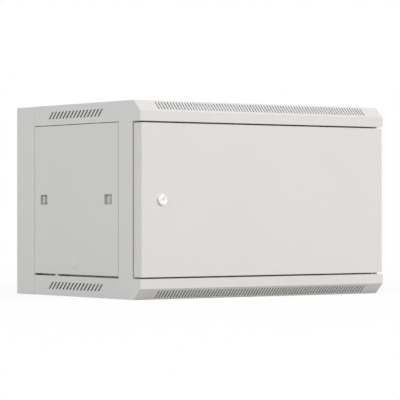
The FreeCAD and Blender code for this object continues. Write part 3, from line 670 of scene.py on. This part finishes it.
for end in ENDS:
    for side in SIDES:
        latch_bolt(f"{end}_latch_bolt_{side}")
for side in SIDES:
    blanking_plug(f"lock_hole_plug_{side}")


# ---------------------------------------------------------------- fasteners

M6 = 2.95  # the radius of an M6 thread as drawn
M6_NUT = 5.0  # half of its nut's width across the flats


def rail_bolts():
    """Carriage bolts: a low dome inside the rail, a square neck and a threaded end."""
    head = 2.5
    neck = 3.0
    form = Form()
    for low, high in solids("rail_bolts"):
        inside, outside, way = (high.x, low.x, 1) if low.x < 0 else (low.x, high.x, -1)
        seat = inside - way * head * MM
        start = middle_of(low, high, x=seat)
        form.turned("x", start, domed(head, span(low, high, "z") / 2), way)
        corner = Vector((0, M6, M6)) * MM
        near = middle_of(low, high) - corner
        far = middle_of(low, high) + corner
        near.x, far.x = sorted((seat + way * 0.3 * MM, seat - way * neck * MM))
        form.box(near, far, 0.4)
        length = abs(seat - outside) / MM
        form.turned("x", start, threaded(neck - 0.5, length, M6), -way, 24)
    placed("rail_bolts", form.mesh())


def rail_nuts():
    form = Form()
    for low, high in solids("rail_nuts"):
        nut(form, "x", middle_of(low, high, x=low.x), span(low, high, "x"), M6_NUT, M6)
    placed("rail_nuts", form.mesh())


def cross_head(axis, seat, way, radius, height):
    """A pan head with a cross recess."""
    form = Form()
    form.turned(axis, seat, domed(height, radius), way)
    cutter = Form()
    across, up, along = AXES[axis]
    for arm, other in ((across, up), (up, across)):
        reach = arm * radius * 0.52 + other * 0.45
        corners = [
            seat + (along * way * depth + reach * sign) * MM
            for depth, sign in ((height * 0.45, -1), (height + 1, 1))]
        low = Vector([min(pair) for pair in zip(*corners)])
        high = Vector([max(pair) for pair in zip(*corners)])
        cutter.box(low, high, 0.05, 1)
    return carved(form.mesh(), cutter.mesh())


def cover_screws():
    """The entry plates' screws, with their heads inside the cabinet."""
    head = 2.2
    head_radius = 3.9
    shank = 1.95
    form = Form()
    for low, high in solids("cover_screws"):
        axis = "y" if span(low, high, "y") < span(low, high, "z") else "z"
        in_floor = low.z < 100 * MM
        if axis == "y":
            seat, way = middle_of(low, high, y=low.y + head * MM), -1
        elif in_floor:
            seat, way = middle_of(low, high, z=high.z - head * MM), 1
        else:
            seat, way = middle_of(low, high, z=low.z + head * MM), -1
        form.bm.from_mesh(cross_head(axis, seat, way, head_radius, head))
        form.turned(axis, seat, [(-0.2, 1.9)] + threaded(0, 2.4, shank, 0.7), -way, 24)
    placed("cover_screws", form.mesh())


def earth_point():
    """The threaded stud and its nut."""
    low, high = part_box("earth_stud")
    length = span(low, high, "z")
    rings = [(0, 2.6), (0.3, M6), (1.6, M6)] + threaded(1.7, length - 0.6, M6) + [(length, 2.2)]
    stud = Form()
    stud.turned("z", middle_of(low, high, z=low.z), rings, 1, 24)
    placed("earth_stud", stud.mesh())

    low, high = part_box("earth_nut")
    hex_nut = Form()
    nut(hex_nut, "z", middle_of(low, high, z=low.z), span(low, high, "z"), M6_NUT, M6 + 0.02)
    placed("earth_nut", hex_nut.mesh())


rail_bolts()
rail_nuts()
cover_screws()
earth_point()


# ---------------------------------------------------------------- door hardware

PIN = 2.5  # the hinge pins' radius


def door_bumpers():
    """Rubber stops on the cabinet behind the door, narrower towards it."""
    form = Form()
    for low, high in solids("door_bumpers"):
        thick = span(low, high, "y")
        rings = [(0, 3.9), (thick * 0.35, 4.0), (thick * 0.65, 3.75), (thick * 0.9, 3.2), (thick, 2.2)]
        form.turned("y", middle_of(low, high, y=high.y), rings, -1, 40)
    placed("door_bumpers", form.mesh())


def pin_tip(length):
    """Rings of the last millimetre of a hinge pin, which narrows to its tip."""
    return [(length - 1, PIN), (length - 0.3, 2.1), (length, 1.2)]


def hinge_bushes():
    form = Form()
    for low, high in solids("hinge_bushes"):
        length = span(low, high, "z")
        rings = [
            (0.2, 2.56), (0, 2.8), (0, 3.6), (0.4, 4.0),
            (length - 0.4, 4.0), (length, 3.6), (length, 2.8), (length - 0.2, 2.56)]
        form.turned("z", middle_of(low, high, z=low.z), rings, 1, 40, bored=True)
    placed("hinge_bushes", form.mesh())


def bottom_hinge_pin():
    """The cabinet's headed pin, which points up into the door's lower bush."""
    low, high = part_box("bottom_hinge_pin")
    head = [(0, 1.2), (0.25, 3.2), (0.8, 4.4), (1.5, 4.95), (2.4, 5.0), (2.5, 4.9), (2.5, PIN)]
    form = Form()
    form.turned("z", middle_of(low, high, z=low.z), head + pin_tip(span(low, high, "z")), 1, 40)
    placed("bottom_hinge_pin", form.mesh())


def top_hinge_pin(axis):
    """The pin that is drawn down: its collar on the spring, and the lever at its foot."""
    low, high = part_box("top_hinge_pin")
    foot = axis.copy()
    foot.z = low.z
    collar = (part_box("hinge_spring")[1].z - low.z) / MM
    rings = [
        (0.1, 2.2), (0.4, PIN), (collar, PIN), (collar, 4.2), (collar + 0.3, 4.5),
        (collar + 1.7, 4.5), (collar + 2, 4.2), (collar + 2, PIN)]
    form = Form()
    form.turned("z", foot, rings + pin_tip(span(low, high, "z")), 1, 40)
    lever_low = Vector((low.x, foot.y - 2 * MM, low.z))
    lever_high = Vector((foot.x + 1 * MM, foot.y + 2 * MM, low.z + 4 * MM))
    form.box(lever_low, lever_high, 1.2, 4)
    placed("top_hinge_pin", form.mesh())


def hinge_spring(axis):
    """A round wire coil with closed ends, drawn at one length; the real spring shortens as the pin is drawn
    down.
    """
    wire = 0.45
    mean = 3.25  # the coil's radius at the middle of the wire
    turns = 6
    steps = 28  # to a turn
    sides = 10
    closed = 1 / turns * 0.8  # the share of the coil that is closed at each end
    even = 0.14  # the share of its rise that is spread over the closed ends too
    low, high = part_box("hinge_spring")
    rise = span(low, high, "z") - 2 * wire
    bm = bmesh.new()
    loops = []
    for step in range(turns * steps + 1):
        share = step / (turns * steps)
        angle = 2 * math.pi * turns * share
        travel = min(max((share - closed) / (1 - 2 * closed), 0), 1)
        height = wire + rise * (travel * (1 - even) + share * even)
        out = Vector((math.cos(angle), math.sin(angle), 0))
        middle = Vector((axis.x, axis.y, low.z)) + (out * mean + Vector((0, 0, height))) * MM
        loop = []
        for side in range(sides):
            turn = 2 * math.pi * side / sides
            round_wire = (out * math.cos(turn) + Vector((0, 0, math.sin(turn)))) * wire * MM
            loop.append(bm.verts.new(middle + round_wire))
        loops.append(loop)
    skin(bm, loops)
    bm.faces.new(loops[0])
    bm.faces.new(loops[-1])
    bmesh.ops.recalc_face_normals(bm, faces=bm.faces)
    bm.faces.layers.float.new("edge")
    piece = placed("hinge_spring", finished(bm, bpy.data.meshes.new("spring")))
    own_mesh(piece)


def lock_barrel():
    """The ring on the door, the threaded barrel behind it, and the bore that the plug turns in."""
    low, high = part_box("lock_barrel")
    length = span(low, high, "y")
    ring = [(0, 7.3), (0, 8.6), (0.25, 9.3), (0.8, 9.8), (1.6, 10), (5.2, 10), (5.5, 9.7)]
    thread = [(5.5, 8.0), (6.9, 8.0)] + threaded(7, length - 0.5, 8.0, 1.25)
    bore = [(length, 7.4), (length, 6.6), (0.9, 6.6), (0.35, 6.85)]
    form = Form()
    form.turned("y", middle_of(low, high, y=low.y), ring + thread + bore, 1, 64, bored=True)
    placed("lock_barrel", form.mesh())


def lock_plug():
    """The plug with its keyway, and the square at its back that carries the cam."""
    square_start = 28.0
    square_half = 3.5
    low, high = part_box("lock_plug")
    start = middle_of(low, high, y=low.y)
    keyway = [
        oblong(1.8, 2.3, 0.75), oblong(0.75, 2.3, 0.75), oblong(0.6, 2.6, 1.05),
        oblong(0.45, 4.6, 2.0), oblong(0.1, 5.3, 2.7), oblong(0.0, 5.5, 2.9)]
    body = [(0.0, 6.1), (0.08, 6.35), (0.3, 6.5), (square_start + 0.2, 6.5)]
    form = Form()
    # the keyway's first bands are marked for the plated finish's painted shade
    form.turned("y", start, keyway + body, 1, 64, shaded_recess=4)
    half = Vector((square_half, 0, square_half)) * MM
    near = start - half + Vector((0, square_start, 0)) * MM
    far = start + half + Vector((0, span(low, high, "y"), 0)) * MM
    form.box(near, far, 0.3)
    placed("lock_plug", form.mesh())


def lock_nut():
    low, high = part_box("lock_nut")
    form = Form()
    nut(form, "y", middle_of(low, high, y=low.y), span(low, high, "y"), flat=11.0, hole=8.1)
    placed("lock_nut", form.mesh())


def lock_cam_screw():
    """The cam's hexagonal screw, with a shallow hollow in its head."""
    flat = 4.5
    low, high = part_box("lock_cam_screw")
    thick = span(low, high, "y")
    rings = [
        (0, 4.3), hexagon(flat, 0, -1), hexagon(flat, thick, 1), (thick, 4.2), (thick, 2.6),
        (thick - 0.5, 2.2), (thick - 0.5, 0.3)]
    form = Form()
    form.turned("y", middle_of(low, high, y=low.y), rings, 1, 48)
    placed("lock_cam_screw", form.mesh())


hinge_axis = middle_of(*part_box("bottom_hinge_pin"))
door_bumpers()
hinge_bushes()
bottom_hinge_pin()
top_hinge_pin(hinge_axis)
hinge_spring(hinge_axis)
lock_barrel()
lock_plug()
lock_nut()
lock_cam_screw()


# ---------------------------------------------------------------- stage

SKY = 0.72
SKY_COLOUR = (0.96, 0.985, 1.0, 1)
WHITE = (1, 1, 1, 1)
FLOOR_BOUNCE = (0.5, 0.5, 0.5 * 0.97, 1)
FLOOR_TONE = (0.95, 0.95, 0.95, 1)
FLOOR_RADIUS = 30.0
SHADOW = 0.12  # how much of the shadow the camera sees near the object
SHADOW_FADES = (0.6, 2.2)  # the distances from the object between which it fades away

# The lamps: the direction from the object's middle, the size, the watts and the colour.
LAMP_DISTANCE = 9.0
LAMPS = {
    "key": ((0.4, -1.0, 0.42), 2.0, 344, (1.0, 0.965, 0.945)),
    "fill": ((-1.0, -0.2, 0.5), 5.0, 190, (0.95, 0.975, 1.0)),
}

# The camera: a long lens, from the front left, with its angles in radians.
LENS = 202.892
SENSOR = 36.0
CLIP = (0.1, 100.0)
EYE = (-2.69375, FRONT - 3.52331, 0.17075)
LEVEL = math.pi / 2
TILT, ROLL, TURN = 0.00445, 0.00046, -0.62325


def world():
    """White where the camera or a reflection sees it, and a plain level of light for the rest."""
    studio = bpy.data.worlds.new("studio")
    bpy.context.scene.world = studio
    tree = Tree(studio)
    tree.nodes.clear()
    light = tree.plain("ShaderNodeBackground", Color=SKY_COLOUR, Strength=SKY)
    white = tree.plain("ShaderNodeBackground", Color=WHITE, Strength=1.0)
    out = tree.add("ShaderNodeOutputWorld")
    tree.feed(out.inputs["Surface"], tree.blend(tree.seen(), light, white))


def floor():
    """A plain pale floor: white to the camera, with the object's soft shadow near it."""
    mesh = bpy.data.meshes.new("floor")
    bm = bmesh.new()
    bmesh.ops.create_circle(bm, cap_ends=True, segments=96, radius=FLOOR_RADIUS)
    bm.to_mesh(mesh)
    bm.free()
    ground = bpy.data.objects.new("floor", mesh)
    bpy.context.scene.collection.objects.link(ground)
    tree = Finish("floor")
    tree.nodes.remove(tree.shader)
    bounce = tree.plain("ShaderNodeBsdfDiffuse", Color=FLOOR_BOUNCE)
    shadowed = tree.plain("ShaderNodeBsdfDiffuse", Color=FLOOR_TONE)
    white = tree.plain("ShaderNodeEmission", Color=WHITE, Strength=1.0)
    reach = tree.add("ShaderNodeVectorMath", operation="LENGTH")
    tree.feed(reach.inputs[0], tree.place)
    fade = tree.spread(reach.outputs["Value"], (1 - SHADOW, 1.0), SHADOW_FADES)
    surface = tree.blend(tree.seen(), bounce, tree.blend(fade, shadowed, white))
    tree.feed(tree.nodes["Material Output"].inputs["Surface"], surface)
    mesh.materials.append(tree.material)


def lamp(name, toward, size, watts, colour):
    """A round area lamp in a direction from the object's middle, turned to face it."""
    data = bpy.data.lights.new(name, "AREA")
    data.shape = "DISK"
    data.size = size
    data.energy = watts
    data.color = colour
    source = bpy.data.objects.new(name, data)
    bpy.context.scene.collection.objects.link(source)
    direction = Vector(toward).normalized()
    source.location = middle_of(*cad_box) + direction * LAMP_DISTANCE
    source.rotation_euler = direction.to_track_quat("Z", "Y").to_euler()


def camera():
    data = bpy.data.cameras.new("camera")
    data.lens = LENS
    data.sensor_width = SENSOR
    data.clip_start, data.clip_end = CLIP
    eye = bpy.data.objects.new("camera", data)
    bpy.context.scene.collection.objects.link(eye)
    eye.location = EYE
    eye.rotation_euler = (LEVEL + TILT, ROLL, TURN)
    bpy.context.scene.camera = eye


world()
floor()
for name, values in LAMPS.items():
    lamp(name, *values)
camera()
bpy.context.scene.view_settings.view_transform = "Standard"
